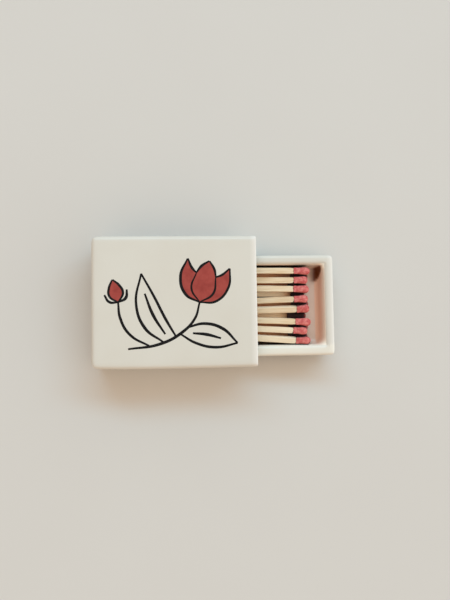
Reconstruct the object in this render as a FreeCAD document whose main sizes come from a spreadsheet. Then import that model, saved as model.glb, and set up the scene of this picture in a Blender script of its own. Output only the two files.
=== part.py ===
import FreeCAD, Part
import math
import os
import re

import Sketcher

# A porcelain matchbox: a thick-walled sleeve closed at its rear end, a tray that slides out of its mouth
# along +X, a striker strip on the sleeve's back, and a pile of safety matches lying in the tray.
# Millimetres, +Z up, origin at the centre of the sleeve's underside.
# Sizes run outwards from one match: the pile sets the well, the well the tray, and the tray the sleeve.

SIZES = {
    # one match, and how matches lie together
    "stick_width": 2.15,
    "match_length": 42.0,
    "head_length": 5.5,
    "head_swell": 0.4,
    "head_coat": 0.08,
    "head_cap": 2.5,
    "head_gap": 0.55,
    "layer_nest": 0.1,
    "match_gap": 0.1,
    # the tray and the well inside it
    "tray_wall": 3.3,
    "tray_floor": 2.4,
    "tray_corner": 1.5,
    "tray_edge": 1.0,
    "tray_rim_edge": 0.7,
    "well_lean": 0.8,
    "well_front_lean": 1.55,
    "well_fillet": 1.6,
    "well_corner": 2.2,
    "well_side_room": 1.3,
    "well_tail_room": 0.85,
    "well_front_room": 2.45,
    "well_headroom": 0.5,
    # the sleeve and the bay that the tray slides in
    "sleeve_wall": 3.25,
    "sleeve_edge": 1.3,
    "sleeve_rear_corner": 1.8,
    "mouth_edge": 0.6,
    "bay_corner": 0.8,
    "bay_lip": 0.5,
    "tray_side_clearance": 1.65,
    "tray_top_clearance": 3.1,
    "tray_rest_gap": 0.1,
    "tray_side_gap": 0.25,
    "tray_pull": 2.7,
    "tray_open": 26.25,
    # the striker strip and its seat
    "striker_length": 42.0,
    "striker_height": 9.0,
    "striker_corner": 0.6,
    "striker_thickness": 0.4,
    "striker_sink": 0.1,
    "striker_gap": 0.25,
}

MATCHES_ACROSS = 8
LAYERS = 2

# Sizes that follow from the ones above; each is written once and used wherever it is needed.
RULES = {
    "head_width": "stick_width + 2 * head_swell",
    "neck_width": "stick_width + 2 * head_coat",
    "head_grip": "head_length - head_cap",
    "match_pitch": "head_width + head_gap",
    "layer_rise": "head_width - layer_nest",
    "pile_height": f"match_gap + head_width + {LAYERS - 1} * layer_rise",
    "floor_length": "well_tail_room + match_length + well_front_room",
    "well_depth": "pile_height + well_headroom",
    "well_base_length": "floor_length + 2 * well_fillet",
    "well_rim_length": "well_base_length + well_lean + well_front_lean",
    "well_shift": "(well_lean - well_front_lean) / 2",
    "well_rim_width": f"{MATCHES_ACROSS - 1} * match_pitch + head_width + 2 * well_side_room",
    "well_base_width": "well_rim_width - 2 * well_lean",
    "tray_length": "well_rim_length + 2 * tray_wall",
    "tray_width": "well_rim_width + 2 * tray_wall",
    "tray_height": "well_depth + tray_floor",
    "bay_depth": "tray_length - tray_pull",
    "bay_width": "tray_width + 2 * tray_side_clearance",
    "bay_height": "tray_rest_gap + tray_height + tray_top_clearance",
    "sleeve_length": "bay_depth + sleeve_wall",
    "sleeve_width": "bay_width + 2 * sleeve_wall",
    "sleeve_height": "bay_height + 2 * sleeve_wall",
    "tray_reach": "sleeve_length / 2 + tray_pull + tray_open",
    "seat_depth": "striker_thickness + striker_sink",
    "seat_length": "striker_length + 2 * striker_gap",
    "seat_height": "striker_height + 2 * striker_gap",
    "seat_corner": "striker_corner + striker_gap",
}

# Stations of a match head: how far along the grip on the stick, then along the cap past the stick's end,
# each with its width, as shares of the grip or cap and of the head's width. It is widest at the stick's end.
HEAD_GRIP_SHARES = ((0.36, 0.9), (0.7, 0.98), (1.0, 1.0))
HEAD_CAP_SHARES = ((0.42, 0.95), (0.73, 0.76), (0.91, 0.5), (1.0, 0.26))
HEAD_ROUND_SHARE = 0.46

# The matches from the +Y wall to the -Y wall. Where each head and each tail lies, in shares of the match
# pitch from the tray's middle line; how far each lies forward, in shares of the room in front; and how
# far the top ones roll about their length, in degrees.
TOP_HEAD_SHARES = (3.59, 2.63, 1.67, 0.65, -0.36, -1.77, -2.67, -3.69)
TOP_TAIL_SHARES = (3.75, 2.67, 1.94, 0.31, -0.52, -1.28, -2.0, -2.86)
TOP_FORWARD_SHARES = (0.23, -0.13, 0.02, -0.14, 0.0, 0.21, -0.32, 0.14)
TOP_ROLLS = (0.0, 3.0, -2.0, 0.0, 24.0, -4.0, 2.0, 17.0)
BOTTOM_TAIL_SHARES = (3.3, 2.42, 1.5, -0.08, -0.9, -1.66, -2.44)
BOTTOM_FORWARD_SHARES = (0.06, -0.13, -0.48, 0.1, -0.32, 0.0, -0.1)

TOUCH = 1e-4

doc = FreeCAD.newDocument("matchbox_holder")
sheet = doc.addObject("Spreadsheet::Sheet", "Sizes")


def fill_sheet():
    for row, (name, number) in enumerate(SIZES.items(), 1):
        sheet.set(f"A{row}", name)
        sheet.set(f"B{row}", str(number))
        sheet.setAlias(f"B{row}", name)
    doc.recompute()


def expand(text):
    """Turn words for sizes into cells of the sheet, working through the rules."""

    def cell(found):
        word = found.group()
        if word in RULES:
            return f"({expand(RULES[word])})"
        return f"Sizes.{word}" if word in SIZES else word

    return re.sub("[a-z_]+", cell, text)


def size(text):
    return float(sheet.evalExpression(expand(text)))


def bind(thing, place, text):
    thing.setExpression(place, expand(text))


def new_body(label):
    body = doc.addObject("PartDesign::Body", label)
    body.Label = label
    return body


def sketch_on(body, role, name, lift="0", up="0", along="0"):
    """A sketch on one of the body's origin planes, lifted along its normal and moved within it."""
    plane = next(feature for feature in body.Origin.OriginFeatures if feature.Role == role)
    sketch = body.newObject("Sketcher::SketchObject", name)
    sketch.AttachmentSupport = [(plane, "")]
    sketch.MapMode = "FlatFace"
    bind(sketch, "AttachmentOffset.Base.x", along)
    bind(sketch, "AttachmentOffset.Base.y", up)
    bind(sketch, "AttachmentOffset.Base.z", lift)
    return sketch


def name_sizes(sketch, named):
    for name, (constraint, text) in named.items():
        index = sketch.addConstraint(constraint)
        sketch.renameConstraint(index, name)
        bind(sketch, f"Constraints.{name}", text)


def rectangle(sketch, width, height):
    """A rectangle centred on the sketch's origin."""
    half_width = size(width) / 2
    half_height = size(height) / 2
    signs = ((-1, -1), (1, -1), (1, 1), (-1, 1))
    corners = [FreeCAD.Vector(x * half_width, y * half_height, 0) for x, y in signs]
    for corner, following in zip(corners, corners[1:] + corners[:1]):
        sketch.addGeometry(Part.LineSegment(corner, following))
    bottom, right, top, left = range(len(corners))
    for line, following in ((bottom, right), (right, top), (top, left), (left, bottom)):
        sketch.addConstraint(Sketcher.Constraint("Coincident", line, 2, following, 1))
    for line in (bottom, top):
        sketch.addConstraint(Sketcher.Constraint("Horizontal", line))
    for line in (right, left):
        sketch.addConstraint(Sketcher.Constraint("Vertical", line))
    sketch.addConstraint(Sketcher.Constraint("Symmetric", bottom, 1, top, 1, -1, 1))
    name_sizes(sketch, {
        "wide": (Sketcher.Constraint("DistanceX", bottom, 1, bottom, 2, 2 * half_width), width),
        "tall": (Sketcher.Constraint("DistanceY", right, 1, right, 2, 2 * half_height), height),
    })


def rounded_rectangle(sketch, width, height, radius):
    """A rectangle with round corners, centred on the sketch's origin."""
    bend = size(radius)
    half_width = size(width) / 2
    half_height = size(height) / 2
    turns = ((1, 1), (-1, 1), (-1, -1), (1, -1))
    upright = FreeCAD.Vector(0, 0, 1)
    arcs = []
    for quarter, (x, y) in enumerate(turns):
        centre = FreeCAD.Vector(x * (half_width - bend), y * (half_height - bend), 0)
        circle = Part.Circle(centre, upright, bend)
        arcs.append(Part.ArcOfCircle(circle, quarter * math.pi / 2, (quarter + 1) * math.pi / 2))
    for arc, following in zip(arcs, arcs[1:] + arcs[:1]):
        sketch.addGeometry(arc)
        sketch.addGeometry(Part.LineSegment(arc.EndPoint, following.StartPoint))
    right_top, top, left_top, left, left_bottom, bottom, right_bottom, right = range(2 * len(arcs))
    loop = (right_top, top, left_top, left, left_bottom, bottom, right_bottom, right, right_top)
    for edge, following in zip(loop, loop[1:]):
        sketch.addConstraint(Sketcher.Constraint("Tangent", edge, 2, following, 1))
    for line in (top, bottom):
        sketch.addConstraint(Sketcher.Constraint("Horizontal", line))
    for line in (left, right):
        sketch.addConstraint(Sketcher.Constraint("Vertical", line))
    for arc in (left_top, left_bottom, right_bottom):
        sketch.addConstraint(Sketcher.Constraint("Equal", right_top, arc))
    sketch.addConstraint(Sketcher.Constraint("Symmetric", right_top, 3, left_bottom, 3, -1, 1))
    name_sizes(sketch, {
        "bend": (Sketcher.Constraint("Radius", right_top, bend), radius),
        "wide": (Sketcher.Constraint("DistanceX", left, 1, right, 1, 2 * half_width), width),
        "tall": (Sketcher.Constraint("DistanceY", bottom, 1, top, 1, 2 * half_height), height),
    })


def pad(body, name, sketch, length):
    feature = body.newObject("PartDesign::Pad", name)
    feature.Profile = sketch
    bind(feature, "Length", length)
    doc.recompute()
    return feature


def pocket(body, name, base, sketch, depth, against_normal=True):
    """Cut the sketch into the body, against the sketch's normal or along it, and see that it cut."""
    feature = body.newObject("PartDesign::Pocket", name)
    feature.Profile = sketch
    feature.Reversed = not against_normal
    bind(feature, "Length", depth)
    doc.recompute()
    if not feature.Shape.Volume < base.Shape.Volume:
        raise RuntimeError(f"{name} cut nothing")
    return feature


def loft(body, kind, name, sketches):
    feature = body.newObject(f"PartDesign::{kind}Loft", name)
    feature.Profile = sketches[0]
    feature.Sections = sketches[1:]
    doc.recompute()
    return feature


def fillet(body, name, base, edges, radius):
    feature = body.newObject("PartDesign::Fillet", name)
    feature.Base = (base, edges)
    bind(feature, "Radius", radius)
    doc.recompute()
    return feature


def edges_where(feature, test):
    """Names of the feature's edges, all of whose points pass the test."""
    names = []
    for number, edge in enumerate(feature.Shape.Edges, 1):
        ends_and_middle = edge.discretize(3)
        if all(test(point) for point in ends_and_middle):
            names.append(f"Edge{number}")
    return names


def level(first, second):
    return abs(first - second) < TOUCH


def without(names, others):
    return [name for name in names if name not in others]


def make_sleeve():
    """The porcelain sleeve, closed and rounded at its rear end, cut off crisply at its mouth."""
    body = new_body("sleeve")
    mouth = size("sleeve_length") / 2
    top = size("sleeve_height")
    plan = sketch_on(body, "XY_Plane", "sleeve_plan")
    rectangle(plan, "sleeve_length", "sleeve_width")
    block = pad(body, "sleeve_block", plan, "sleeve_height")

    def above_or_below(point):
        return level(point.z, 0) or level(point.z, top)

    def in_mouth(point):
        return level(point.x, mouth)

    def in_bay_mouth(point):
        beside = abs(point.y) < size("bay_width") / 2 + TOUCH
        return in_mouth(point) and beside and abs(point.z - top / 2) < size("bay_height") / 2 + TOUCH

    rear = edges_where(block, lambda point: level(point.x, -mouth))
    flat = edges_where(block, above_or_below)
    cornered = fillet(body, "sleeve_rear_corners", block, without(rear, flat), "sleeve_rear_corner")
    along = without(edges_where(cornered, above_or_below), edges_where(cornered, in_mouth))
    soft = fillet(body, "sleeve_edges", cornered, along, "sleeve_edge")
    eased = fillet(body, "sleeve_mouth_edge", soft, edges_where(soft, in_mouth), "mouth_edge")

    half_up = "sleeve_height / 2"
    bay_outline = sketch_on(body, "YZ_Plane", "bay_outline", lift="sleeve_length / 2", up=half_up)
    rounded_rectangle(bay_outline, "bay_width", "bay_height", "bay_corner")
    hollow = pocket(body, "bay", eased, bay_outline, "bay_depth")
    lipped = fillet(body, "bay_mouth_lip", hollow, edges_where(hollow, in_bay_mouth), "bay_lip")

    seat_outline = sketch_on(body, "XZ_Plane", "seat_outline", lift="-sleeve_width / 2", up=half_up)
    rounded_rectangle(seat_outline, "seat_length", "seat_height", "seat_corner")
    pocket(body, "striker_seat", lipped, seat_outline, "seat_depth", against_normal=False)
    return body


def make_tray():
    """The porcelain tray: a block with round corners, and a well whose walls lean in to a round foot.

    The front wall leans most, as a ramp for a fingertip, so the floor lies a little to the rear.
    """
    body = new_body("tray")
    rim = size("tray_height")
    floor = size("tray_floor")
    plan = sketch_on(body, "XY_Plane", "tray_plan")
    rounded_rectangle(plan, "tray_length", "tray_width", "tray_corner")
    block = pad(body, "tray_block", plan, "tray_height")
    underside = edges_where(block, lambda point: level(point.z, 0))
    soft = fillet(body, "tray_edges", block, underside, "tray_edge")

    well_rim = sketch_on(body, "XY_Plane", "well_rim", lift="tray_height")
    rounded_rectangle(well_rim, "well_rim_length", "well_rim_width", "well_corner")
    well_base = sketch_on(body, "XY_Plane", "well_base", lift="tray_floor", along="well_shift")
    rounded_rectangle(well_base, "well_base_length", "well_base_width", "well_corner")
    hollow = loft(body, "Subtractive", "well", [well_rim, well_base])
    if not hollow.Shape.Volume < soft.Shape.Volume:
        raise RuntimeError("the well cut nothing")

    foot = edges_where(hollow, lambda point: level(point.z, floor))
    footed = fillet(body, "well_foot", hollow, foot, "well_fillet")
    rim_edges = edges_where(footed, lambda point: level(point.z, rim))
    fillet(body, "tray_rim", footed, rim_edges, "tray_rim_edge")
    bind(body, "Placement.Base.x", "tray_reach - tray_length / 2")
    bind(body, "Placement.Base.y", "tray_side_gap - tray_side_clearance")
    bind(body, "Placement.Base.z", "sleeve_wall + tray_rest_gap")
    return body


def make_striker():
    """The striker strip: a thin plate with round corners, upright in its seat on the sleeve's back."""
    body = new_body("striker_strip")
    outline = sketch_on(body, "XY_Plane", "striker_outline")
    rounded_rectangle(outline, "striker_length", "striker_height", "striker_corner")
    pad(body, "striker_plate", outline, "striker_thickness")
    body.Placement = FreeCAD.Placement(FreeCAD.Vector(), FreeCAD.Rotation(FreeCAD.Vector(1, 0, 0), -90))
    bind(body, "Placement.Base.y", "sleeve_width / 2 - seat_depth")
    bind(body, "Placement.Base.z", "sleeve_height / 2")
    return body


def make_stick():
    """One square-cut stick along +X. Its head starts at the origin, and the stick runs on into it."""
    body = new_body("stick_pattern")
    section = sketch_on(body, "YZ_Plane", "stick_section", lift="head_length - match_length")
    rectangle(section, "stick_width", "stick_width")
    pad(body, "stick_bar", section, "match_length - head_length + head_grip")
    return body


def head_section(body, number, along, width, corner):
    section = sketch_on(body, "YZ_Plane", f"head_section_{number}", lift=along)
    rounded_rectangle(section, width, width, corner)
    return section


def make_head():
    """One dipped head: square at the neck, where it coats the stick, then swelling to a round tip.

    The corner radius grows just as fast as lets the coat still cover the corners of the stick.
    """
    body = new_body("head_pattern")
    growth = math.sqrt(2) / (math.sqrt(2) - 1)
    stations = [("0", "neck_width", "head_coat")]
    for along_share, width_share in HEAD_GRIP_SHARES:
        width = f"{width_share} * head_width"
        covering = f"head_coat + ({width} - neck_width) / 2 * {growth}"
        corner = f"min({covering}; {HEAD_ROUND_SHARE} * {width})"
        stations.append((f"{along_share} * head_grip", width, corner))
    for along_share, width_share in HEAD_CAP_SHARES:
        width = f"{width_share} * head_width"
        corner = f"{HEAD_ROUND_SHARE} * {width}"
        stations.append((f"head_grip + {along_share} * head_cap", width, corner))
    sections = [head_section(body, number, *station) for number, station in enumerate(stations)]
    bulb = loft(body, "Additive", "head_bulb", sections)
    socket = sketch_on(body, "YZ_Plane", "socket_section")
    rectangle(socket, "stick_width", "stick_width")
    pocket(body, "socket", bulb, socket, "head_grip", against_normal=False)
    return body


def copy_of(pattern, label, placement):
    """A body of its own that repeats a pattern at another place."""
    body = new_body(label)
    base = body.newObject("PartDesign::FeatureBase", f"{label}_base")
    base.BaseFeature = pattern
    body.Tip = base
    body.Placement = placement
    return body


def middles(shares):
    return [(first + second) / 2 for first, second in zip(shares, shares[1:])]


def pile_layers():
    """The pile from the bottom up: for each match its head and tail places, forward share and roll.

    The bottom heads lie in the valleys between the top ones.
    """
    flat = [0.0] * (MATCHES_ACROSS - 1)
    bottom = zip(middles(TOP_HEAD_SHARES), BOTTOM_TAIL_SHARES, BOTTOM_FORWARD_SHARES, flat)
    top = zip(TOP_HEAD_SHARES, TOP_TAIL_SHARES, TOP_FORWARD_SHARES, TOP_ROLLS)
    return {"bottom": list(bottom), "top": list(top)}


def match_placement(layer, head_share, tail_share, forward_share, roll):
    """Where one match lies in the tray: its tail end and the widest part of its head set its line."""
    turn = math.radians(abs(roll))
    half_stick = size("stick_width") / 2 * (math.cos(turn) + math.sin(turn))
    floor = size("tray_floor + match_gap")
    widest = size("head_grip")
    span = size("match_length - head_length") + widest
    tail = FreeCAD.Vector(
        size("well_shift + well_tail_room - floor_length / 2") + forward_share * size("well_front_room"),
        tail_share * size("match_pitch"),
        floor + half_stick + layer * size("stick_width + match_gap"),
    )
    side = head_share * size("match_pitch") - tail.y
    climb = floor + size("head_width") / 2 + layer * size("layer_rise") - tail.z
    ahead = math.sqrt(span ** 2 - side ** 2 - climb ** 2)
    line = FreeCAD.Vector(ahead, side, climb)
    yaw = math.degrees(math.atan2(side, ahead))
    pitch = -math.degrees(math.asin(climb / span))
    neck = tail + line * ((span - widest) / span)
    return FreeCAD.Placement(neck, FreeCAD.Rotation(yaw, pitch, roll))


def lay_matches(tray):
    """Every match of the pile, as a stick and a head in the tray."""
    stick = make_stick()
    head = make_head()
    pieces = []
    for layer, (layer_name, matches) in enumerate(pile_layers().items()):
        for number, match in enumerate(matches, 1):
            placement = tray.Placement * match_placement(layer, *match)
            pieces.append(copy_of(stick, f"stick_{layer_name}_{number}", placement))
            pieces.append(copy_of(head, f"head_{layer_name}_{number}", placement))
    return pieces


def check_pieces(pieces):
    """Stop if any object of the document failed, or any piece is empty or faulty."""
    for thing in doc.Objects:
        if "Invalid" in thing.State or "Error" in thing.State:
            raise RuntimeError(f"{thing.Label} failed: {thing.State}")
    for piece in pieces:
        if piece.Shape.isNull() or not piece.Shape.isValid() or len(piece.Shape.Solids) != 1:
            raise RuntimeError(f"{piece.Label} is not one sound solid")


def main():
    fill_sheet()
    tray = make_tray()
    doc.recompute()
    pieces = [make_sleeve(), tray, make_striker(), *lay_matches(tray)]
    doc.recompute()
    check_pieces(pieces)
    os.makedirs("parts", exist_ok=True)
    for piece in pieces:
        piece.Shape.exportStep(f"parts/{piece.Label}.step")
    print(len(pieces), "pieces")
    for name in ("sleeve", "tray"):
        for way in ("length", "width", "height"):
            print(name, way, round(size(f"{name}_{way}"), 3))


main()
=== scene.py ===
# %% [markdown]
# # A porcelain matchbox
# The object is a glazed porcelain box for matches: a thick sleeve, a tray that slides out of its mouth, a
# striker strip on its back, and fifteen safety matches. The frame holds every piece at its real size and
# place. This lesson models each piece again as a maker would finish it, and paints it. We load the frame
# first, because every size and place below comes from it.

# %% Open the frame
import math
import random
from contextlib import contextmanager

import bmesh
import bpy
from mathutils import Euler, Matrix, Vector


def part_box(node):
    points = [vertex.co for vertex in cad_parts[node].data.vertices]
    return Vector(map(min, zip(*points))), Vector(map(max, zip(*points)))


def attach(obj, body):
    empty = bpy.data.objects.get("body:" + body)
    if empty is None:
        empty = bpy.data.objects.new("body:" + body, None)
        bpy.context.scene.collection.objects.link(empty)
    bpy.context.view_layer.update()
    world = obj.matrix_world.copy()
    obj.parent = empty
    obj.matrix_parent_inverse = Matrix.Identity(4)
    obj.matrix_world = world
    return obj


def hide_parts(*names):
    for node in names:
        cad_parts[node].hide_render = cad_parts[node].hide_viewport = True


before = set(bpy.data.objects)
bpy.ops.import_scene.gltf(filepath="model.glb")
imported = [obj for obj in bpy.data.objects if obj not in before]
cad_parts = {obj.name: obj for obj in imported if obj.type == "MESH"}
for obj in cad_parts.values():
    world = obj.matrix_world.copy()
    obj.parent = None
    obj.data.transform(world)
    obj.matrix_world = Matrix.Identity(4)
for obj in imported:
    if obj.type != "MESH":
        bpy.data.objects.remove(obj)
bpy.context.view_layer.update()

MM = 0.001

# %% [markdown]
# ## Tools for blocking out
# By hand we would press Tab to enter edit mode, click some faces, and press E to pull them out. In code
# the same tools are operators, and clicking becomes a test of where a face lies. The helpers below are
# the few moves that every block needs: add it, enter edit mode, pick faces, and cut loops across the
# piece.

# %% Add a block and edit it
def activate(piece):
    """Make the piece the active one, and the only one that is selected."""
    bpy.ops.object.select_all(action="DESELECT")
    bpy.context.view_layer.objects.active = piece
    piece.select_set(True)


def add_block(name, low, high):
    """A block between two corners, with its place and size in its mesh."""
    # an operator acts on all that is selected, and the frame starts with its solids selected
    bpy.ops.object.select_all(action="DESELECT")
    bpy.ops.mesh.primitive_cube_add(size=1, location=(low + high) / 2, scale=high - low)
    bpy.ops.object.transform_apply(location=True, rotation=True, scale=True)
    piece = bpy.context.object
    piece.name = piece.data.name = name
    return piece


@contextmanager
def editing(piece, pick="FACE"):
    """Edit mode for the lines of a with block, with nothing picked at first."""
    activate(piece)
    bpy.ops.object.mode_set(mode="EDIT")
    bpy.ops.mesh.select_mode(type=pick)
    bpy.ops.mesh.select_all(action="DESELECT")
    yield
    bpy.ops.object.mode_set(mode="OBJECT")


def report(piece):
    print(piece.name, "has", len(piece.data.polygons), "faces")


print("helpers for blocks: add and edit")

# %% Pick faces and cut loops
AXES = {"x": Vector((1, 0, 0)), "y": Vector((0, 1, 0)), "z": Vector((0, 0, 1))}
TOUCH = 0.001 * MM
FACING = 0.9


def near(first, second):
    return abs(first - second) < TOUCH


def pick_faces(piece, test):
    """Select the faces whose middle and normal pass the test."""
    shape = bmesh.from_edit_mesh(piece.data)
    for face in shape.faces:
        face.select_set(test(face.calc_center_median(), face.normal))
    bmesh.update_edit_mesh(piece.data)


def cut_across(axis, places):
    """Cut a loop right round the piece, square to the axis, at each place."""
    for place in places:
        bpy.ops.mesh.select_all(action="SELECT")
        bpy.ops.mesh.bisect(plane_co=AXES[axis] * place, plane_no=AXES[axis])
    bpy.ops.mesh.select_all(action="DESELECT")


def evenly(low, high, count):
    """Places that divide a stretch into equal parts, without its ends."""
    return [low + (high - low) * step / count for step in range(1, count)]


print("helpers for blocks: pick and cut, to", TOUCH / MM, "mm")

# %% [markdown]
# ## The porcelain sleeve
# The sleeve is slip-cast: a flat tube with walls over three millimetres thick, closed and rounded at its
# rear end and cut off crisply at its mouth. We could cut one box out of another with a Boolean modifier,
# but a block whose mouth is pushed in keeps clean loops. Loops are cut first, where the bay and the
# striker's seat will have their walls, and more between them, so that the soft clay can be rippled later.

# %% Block out the sleeve
SLEEVE_WALL = 3.25 * MM
SEAT_DEPTH = 0.5 * MM
SEAT_ROOM = 0.25 * MM
SEAT_PARTS_ALONG = 9
SEAT_PARTS_UP = 2
BAY_PARTS_ACROSS = 8

sleeve_low, sleeve_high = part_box("sleeve")
striker_low, striker_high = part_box("striker_strip")

bay_side = sleeve_high.y - SLEEVE_WALL
bay_floor = sleeve_low.z + SLEEVE_WALL
bay_roof = sleeve_high.z - SLEEVE_WALL
bay_rear = sleeve_low.x + SLEEVE_WALL
seat_low = striker_low - Vector((SEAT_ROOM, 0, SEAT_ROOM))
seat_high = striker_high + Vector((SEAT_ROOM, 0, SEAT_ROOM))

sleeve = add_block("porcelain_sleeve", sleeve_low, sleeve_high)
with editing(sleeve):
    cut_across("y", [-bay_side, bay_side])
    cut_across("z", [bay_floor, bay_roof])
    pick_faces(sleeve, lambda middle, normal: normal.x > FACING and abs(middle.y) < bay_side
               and bay_floor < middle.z < bay_roof)
    bpy.ops.mesh.extrude_region_move(TRANSFORM_OT_translate={"value": (bay_rear - sleeve_high.x, 0, 0)})
    cut_across("x", [seat_low.x, seat_high.x])
    cut_across("z", [seat_low.z, seat_high.z])
    pick_faces(sleeve, lambda middle, normal: normal.y > FACING and near(middle.y, sleeve_high.y)
               and seat_low.x < middle.x < seat_high.x and seat_low.z < middle.z < seat_high.z)
    bpy.ops.mesh.extrude_region_move(TRANSFORM_OT_translate={"value": (0, -SEAT_DEPTH, 0)})
    cut_across("x", evenly(seat_low.x, seat_high.x, SEAT_PARTS_ALONG))
    cut_across("y", evenly(-bay_side, bay_side, BAY_PARTS_ACROSS))
    cut_across("z", evenly(seat_low.z, seat_high.z, SEAT_PARTS_UP))
report(sleeve)

# %% [markdown]
# ## Tools for rounding
# Ctrl+B would bevel the picked edges, all by one radius. A Bevel modifier that reads a weight from each
# edge gives every edge its own radius in one go, so the corners where three radii meet come out clean.
# Each modifier is applied as soon as it is added, so the mesh that we see is the mesh that we keep.

# %% Helpers for rounding
SHARP_ANGLE = math.radians(40)


def pick_sharp_edges(piece, test):
    """Select the sharp edges both of whose ends pass the test."""
    shape = bmesh.from_edit_mesh(piece.data)
    for edge in shape.edges:
        sharp = edge.calc_face_angle(0) > SHARP_ANGLE
        edge.select_set(sharp and all(test(corner.co) for corner in edge.verts))
    bmesh.update_edit_mesh(piece.data)


def shape_with(piece, kind, **settings):
    """Add a modifier and apply it."""
    activate(piece)
    modifier = piece.modifiers.new(kind, kind)
    for name, value in settings.items():
        setattr(modifier, name, value)
    bpy.ops.object.modifier_apply(modifier=modifier.name)


def round_edges(piece, radii, segments):
    """Round the sharp edges: each radius has a test for the edges that it rounds, and later ones win."""
    largest = max(radius for radius, _ in radii)
    with editing(piece, pick="EDGE"):
        for radius, test in radii:
            pick_sharp_edges(piece, test)
            # the first call takes off what an earlier radius put on
            bpy.ops.transform.edge_bevelweight(value=-1)
            bpy.ops.transform.edge_bevelweight(value=radius / largest)
    shape_with(piece, "BEVEL", limit_method="WEIGHT", width=largest, segments=segments,
               use_clamp_overlap=False)


def smooth(piece, levels):
    shape_with(piece, "SUBSURF", levels=levels, render_levels=levels)
    bpy.ops.object.shade_smooth()


print("helpers for rounding: weighted bevels and subdivision")

# %% [markdown]
# ## Rounding the sleeve
# A potter softens clay edges with a damp sponge, more on the outer corners and less at the mouth, which
# is wiped almost crisp. One radius for all edges would look like moulded plastic, so each radius below
# has a test that says which edges it rounds. Subdivision then makes the curves flow.

# %% Tell the sleeve's edges apart
def on_mouth(corner):
    return near(corner.x, sleeve_high.x)


def on_side(corner):
    return near(abs(corner.y), sleeve_high.y)


def on_top_or_base(corner):
    return near(corner.z, sleeve_low.z) or near(corner.z, sleeve_high.z)


def in_bay(corner):
    across = abs(corner.y) < bay_side + TOUCH and corner.x > bay_rear - TOUCH
    return across and bay_floor - TOUCH < corner.z < bay_roof + TOUCH


def in_seat(corner):
    behind = corner.y > sleeve_high.y - SEAT_DEPTH - TOUCH
    along = seat_low.x - TOUCH < corner.x < seat_high.x + TOUCH
    return behind and along and seat_low.z - TOUCH < corner.z < seat_high.z + TOUCH


def at_seat_corner(corner):
    at_end = near(corner.x, seat_low.x) or near(corner.x, seat_high.x)
    return in_seat(corner) and at_end and (near(corner.z, seat_low.z) or near(corner.z, seat_high.z))


corners_in_bay = sum(in_bay(corner.co) for corner in sleeve.data.vertices)
print("the bay has", corners_in_bay, "corners")

# %% Round the sleeve
REAR_CORNER = 2.3 * MM
SLEEVE_EDGE = 1.5 * MM
MOUTH_EDGE = 0.6 * MM
BAY_CORNER = 0.8 * MM
BAY_LIP = 0.5 * MM
SEAT_EDGE = 0.14 * MM
SEAT_CORNER = 0.8 * MM

round_edges(sleeve, [
    (SLEEVE_EDGE, on_top_or_base),
    (REAR_CORNER, lambda corner: near(corner.x, sleeve_low.x) and on_side(corner)),
    (MOUTH_EDGE, lambda corner: on_mouth(corner) and (on_side(corner) or on_top_or_base(corner))),
    (BAY_CORNER, in_bay),
    (BAY_LIP, lambda corner: on_mouth(corner) and in_bay(corner)),
    (SEAT_EDGE, in_seat),
    (SEAT_CORNER, at_seat_corner),
], segments=3)
smooth(sleeve, levels=2)
report(sleeve)

# %% [markdown]
# ## Softening the sleeve
# No wall of cast clay is quite true. We could sculpt that by hand, but a Displace modifier with cloud
# noise gives the same result each time, and a vertex group says how much, corner by corner. The outer
# walls are rippled by about a tenth of a millimetre, while the top stays flat for the drawing and the bay
# stays true for the tray. Last, the front wall gets the slight bow of a wall that dried in its mould.

# %% Ripple a surface by weights
def ripple(piece, wavelength, height, group=""):
    """Move the surface in and out a little, as a hand does to soft clay or a blade to wood."""
    texture = bpy.data.textures.new(f"{piece.name}_ripple", "CLOUDS")
    texture.noise_scale = wavelength
    shape_with(piece, "DISPLACE", texture=texture, strength=height, mid_level=0.5,
               texture_coords="LOCAL", vertex_group=group)
    bpy.data.textures.remove(texture)


def weigh(piece, name, weight_at):
    """A vertex group whose weights come from where each corner lies."""
    group = piece.vertex_groups.new(name=name)
    for corner in piece.data.vertices:
        group.add([corner.index], weight_at(corner.co), "REPLACE")


print("helpers for clay: ripple and weigh")

# %% Soften the sleeve
CLAY_WAVE = 15 * MM
CLAY_RIPPLE = 0.22 * MM
RIPPLE_FADE = 3 * MM
SIDE_BOW = 0.25 * MM


def sleeve_softness(corner):
    """Full on the outer walls, nothing on the top, the base, the seat and inside the bay."""
    margin = RIPPLE_FADE / 2
    inside = abs(corner.y) < bay_side + margin and corner.x > bay_rear - margin
    if in_seat(corner + Vector((0, margin, 0))) or (inside and not on_top_or_base(corner)):
        return 0.0
    return min(1.0, (corner.z - sleeve_low.z) / RIPPLE_FADE, (sleeve_high.z - corner.z) / RIPPLE_FADE)


def front_bow(corner):
    """Most at the middle of the front wall, nothing at its ends and on the other walls."""
    if corner.y > sleeve_low.y + SLEEVE_EDGE:
        return 0.0
    middle = (sleeve_low.x + sleeve_high.x) / 2
    return 1 - ((corner.x - middle) / (sleeve_high.x - middle)) ** 2


weigh(sleeve, "soft", sleeve_softness)
ripple(sleeve, CLAY_WAVE, CLAY_RIPPLE, group="soft")
weigh(sleeve, "bow", front_bow)
shape_with(sleeve, "DISPLACE", direction="Y", strength=-SIDE_BOW, mid_level=0.0, vertex_group="bow")
print("bowed the front wall by", round(SIDE_BOW / MM, 2), "mm")

# %% [markdown]
# ## The porcelain tray
# The tray is a second casting, an open box whose well has leaning walls, so that it leaves its mould and
# a finger can scoop up a match. A Solidify modifier would give it even walls, but these are not even. So
# it starts as a block: the top is inset by the wall, a little more on the near side, pushed down to the
# floor of the well, and the floor drawn in for the lean, most at the front.

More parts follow.
